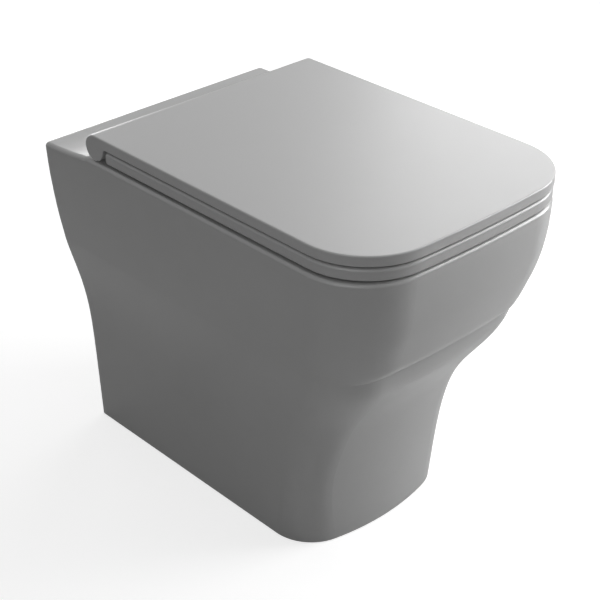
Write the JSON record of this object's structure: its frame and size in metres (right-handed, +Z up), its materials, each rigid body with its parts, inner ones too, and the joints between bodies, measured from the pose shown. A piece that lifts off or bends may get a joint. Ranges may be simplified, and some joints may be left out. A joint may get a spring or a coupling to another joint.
{
  "type": "rimless toilet",
  "caption": "Floor-standing back-to-wall rimless toilet pan with a flat D-shaped soft-close seat and lid on quick-release hinges.",
  "frame": {"origin": "floor level under the middle of the overall box", "axes": "+Z up, -Y to the front of the bowl, +Y to the wall, +X to the right of a person facing the pan"},
  "size_m": [0.354, 0.5484, 0.468],
  "materials": {
    "glazed_pan": "satin grey glaze over vitreous china",
    "seat_plastic": "satin grey thermoset resin",
    "lid_plastic": "satin grey thermoset resin",
    "white_plastic": "moulded white",
    "hinge_plastic": "moulded grey",
    "button_plastic": "moulded dark grey",
    "damper_plastic": "moulded black",
    "pad_rubber": "soft grey",
    "seal_rubber": "black",
    "hinge_steel": "brushed stainless",
    "nut_brass": "turned"
  },
  "bodies": {
    "pan": {"ceramic_pan": "glazed_pan", "flush_distributor": "white_plastic", "inlet_seal": "seal_rubber", "post_gasket_left": "seal_rubber", "post_gasket_right": "seal_rubber", "hinge_post_left": "hinge_steel", "hinge_post_right": "hinge_steel", "hinge_screws": "hinge_steel", "expansion_sleeves": "seal_rubber", "sleeve_nuts": "nut_brass"},
    "hinge_carrier": {"hinge_block_left": "hinge_plastic", "hinge_block_right": "hinge_plastic", "hinge_pin_left": "hinge_steel", "hinge_pin_right": "hinge_steel"},
    "button_left": {"release_button_left": "button_plastic"},
    "button_right": {"release_button_right": "button_plastic"},
    "seat": {"seat_ring": "seat_plastic", "seat_buffers": "pad_rubber", "seat_damper": "damper_plastic", "seat_bush": "damper_plastic"},
    "lid": {"lid": "lid_plastic", "lid_buffers": "pad_rubber", "lid_damper": "damper_plastic", "lid_bush": "damper_plastic"}
  },
  "joints": [
    {"name": "quick_release_lift", "type": "slide", "parent": "pan", "child": "hinge_carrier", "axis": [0, 0, 1], "range_m": [0, 0.012]},
    {"name": "release_press_left", "type": "slide", "parent": "hinge_carrier", "child": "button_left", "axis": [0, -1, 0], "range_m": [0, 0.0013], "stiffness_N_per_m": 150},
    {"name": "release_press_right", "type": "slide", "parent": "hinge_carrier", "child": "button_right", "axis": [0, -1, 0], "range_m": [0, 0.0013], "stiffness_N_per_m": 150},
    {"name": "seat_hinge", "type": "hinge", "parent": "hinge_carrier", "child": "seat", "pos_m": [0, 0.1725, 0.4519], "axis": [-1, 0, 0], "range_deg": [0, 95]},
    {"name": "lid_hinge", "type": "hinge", "parent": "seat", "child": "lid", "pos_m": [0, 0.1725, 0.4519], "axis": [1, 0, 0], "range_deg": [-98, 0]}
  ]
}
